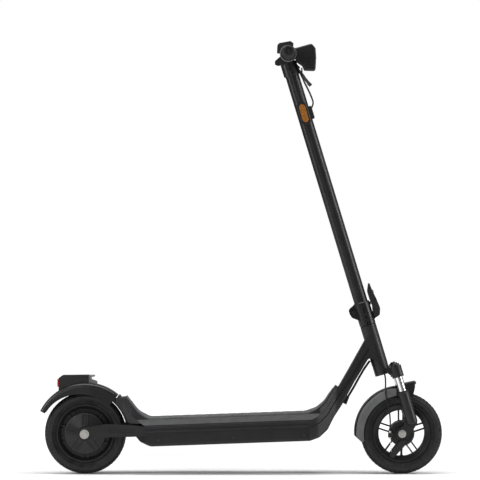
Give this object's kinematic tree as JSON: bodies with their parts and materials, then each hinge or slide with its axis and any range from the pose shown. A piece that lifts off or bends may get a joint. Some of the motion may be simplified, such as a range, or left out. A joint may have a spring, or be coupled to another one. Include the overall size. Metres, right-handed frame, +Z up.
{
  "type": "electric kick scooter",
  "caption": "Folding electric kick scooter with a hub-motor rear wheel, sprung front fork with drum brake, flat deck, lean-back stem and straight handlebar.",
  "frame": {"origin": "on the floor, under the middle of the whole scooter", "axes": "+X forward, +Y to the rider's left, +Z up; upright on both tyres, kickstand folded back"},
  "size_m": [1.224, 0.54, 1.3168],
  "materials": {
    "frame_alloy": "satin black powder coat over aluminium",
    "black_plastic": "fine-grained black plastic",
    "gloss_plastic": "smooth black plastic",
    "lever_alloy": "black anodised",
    "wheel_alloy": "semi-gloss black paint over cast aluminium",
    "steel": "zinc and nickel plated",
    "chrome": "hard chrome",
    "tyre": "moulded tread",
    "rubber": "textured rubber",
    "grey_plastic": "light grey moulding",
    "trim": "black trim; the reflectors in it are amber",
    "red_lens": "red lens",
    "clear_lens": "clear lens",
    "screen": "dark display window",
    "battery": "shrink-wrapped cell pack",
    "stator": "laminated steel with copper windings"
  },
  "bodies": {
    "frame": {"neck_casting": "frame_alloy", "down_tube": "frame_alloy", "head_tube": "frame_alloy", "headset_bearings": "steel", "side_rails": "frame_alloy", "rear_arms": "frame_alloy", "deck_plate": "frame_alloy", "deck_mat": "rubber", "kick_up_cover": "black_plastic", "battery_tray": "black_plastic", "tray_bolts": "steel", "battery_pack": "battery", "controller_box": "black_plastic", "rear_fender": "gloss_plastic", "tail_light_housing": "black_plastic", "tail_light_lens": "red_lens", "fold_hook": "grey_plastic", "motor_stator": "stator", "rear_axle_set": "steel", "kickstand_bracket": "frame_alloy", "wiring_harness": "rubber"},
    "charge_flap": {"charge_flap": "rubber"},
    "kickstand": {"kickstand_leg": "lever_alloy"},
    "rear_wheel": {"rear_tyre": "tyre", "motor_shell": "wheel_alloy", "motor_covers": "wheel_alloy", "rear_wheel_bearings": "steel"},
    "steering": {"fork_crown": "frame_alloy", "fork_stanchions": "chrome", "steering_hardware": "steel", "fold_block": "frame_alloy", "fork_springs": "steel"},
    "latch": {"latch_lever": "lever_alloy"},
    "latch_button": {"latch_button": "grey_plastic"},
    "lower_fork": {"fork_legs": "frame_alloy", "front_fender": "gloss_plastic", "front_axle_set": "steel", "brake_plate": "wheel_alloy", "front_brake_cable": "rubber"},
    "brake_arm": {"brake_arm": "lever_alloy"},
    "front_wheel": {"front_tyre": "tyre", "front_rim": "wheel_alloy", "front_wheel_bearings": "steel"},
    "stem": {"fold_collar": "frame_alloy", "stem_tube": "frame_alloy", "stem_head": "frame_alloy", "handlebar": "lever_alloy", "grips": "rubber", "throttle_housing": "black_plastic", "brake_perch": "lever_alloy", "display_housing": "black_plastic", "display_screen": "screen", "headlight_housing": "gloss_plastic", "headlight_reflector": "chrome", "headlight_lens": "clear_lens", "stem_trim": "trim", "cockpit_cables": "rubber"},
    "throttle": {"throttle_paddle": "black_plastic"},
    "brake_lever": {"brake_lever": "lever_alloy"},
    "power_button": {"power_button": "grey_plastic"}
  },
  "joints": [
    {"name": "steer", "type": "hinge", "parent": "frame", "child": "steering", "pos_m": [0.4046, 0, 0.39191], "axis": [-0.2907, 0, 0.9568], "range_deg": [-55, 55]},
    {"name": "rear_wheel_spin", "type": "hinge", "parent": "frame", "child": "rear_wheel", "pos_m": [-0.475, 0, 0.124], "axis": [0, 1, 0], "continuous": true},
    {"name": "kickstand_swing", "type": "hinge", "parent": "frame", "child": "kickstand", "pos_m": [-0.06, 0.0925, 0.11594], "axis": [0, -0.936, -0.352], "range_deg": [0, 95]},
    {"name": "charge_flap_hinge", "type": "hinge", "parent": "frame", "child": "charge_flap", "pos_m": [0.12, 0.08105, 0.13635], "axis": [1, 0, 0], "range_deg": [0, 110]},
    {"name": "stem_fold", "type": "hinge", "parent": "steering", "child": "stem", "pos_m": [0.34172, 0, 0.48881], "axis": [0, -1, 0], "range_deg": [0, 86]},
    {"name": "fold_latch", "type": "hinge", "parent": "steering", "child": "latch", "pos_m": [0.41222, 0, 0.48724], "axis": [0, 1, 0], "range_deg": [0, 80]},
    {"name": "latch_button_press", "type": "slide", "parent": "latch", "child": "latch_button", "axis": [-0.9568, 0, -0.2907], "range_m": [0, 0.0018], "stiffness_N_per_m": 600, "springref_m": -0.001},
    {"name": "fork_travel", "type": "slide", "parent": "steering", "child": "lower_fork", "axis": [-0.2907, 0, 0.9568], "range_m": [0, 0.025], "stiffness_N_per_m": 6000, "springref_m": -0.03, "deforming": ["fork_springs"]},
    {"name": "front_wheel_spin", "type": "hinge", "parent": "lower_fork", "child": "front_wheel", "pos_m": [0.488, 0, 0.124], "axis": [0, 1, 0], "continuous": true},
    {"name": "brake_arm_pull", "type": "hinge", "parent": "lower_fork", "child": "brake_arm", "pos_m": [0.492, 0, 0.099], "axis": [0, 1, 0], "range_deg": [0, 22]},
    {"name": "brake_lever_pull", "type": "hinge", "parent": "stem", "child": "brake_lever", "pos_m": [0.16979, 0.116, 1.24277], "axis": [0.7278, 0, 0.6858], "range_deg": [0, 22], "stiffness_Nm_per_rad": 2.5, "springref_deg": -6.88},
    {"name": "throttle_press", "type": "hinge", "parent": "stem", "child": "throttle", "pos_m": [0.14098, 0, 1.27334], "axis": [0, -1, 0], "range_deg": [0, 25], "stiffness_Nm_per_rad": 0.6, "springref_deg": -5.73},
    {"name": "power_button_press", "type": "slide", "parent": "stem", "child": "power_button", "axis": [0.5, 0, -0.866], "range_m": [0, 0.0012], "stiffness_N_per_m": 600, "springref_m": -0.001}
  ],
  "couplings": [
    {"joint": "brake_arm_pull", "follows": "brake_lever_pull", "ratio": 1}
  ]
}
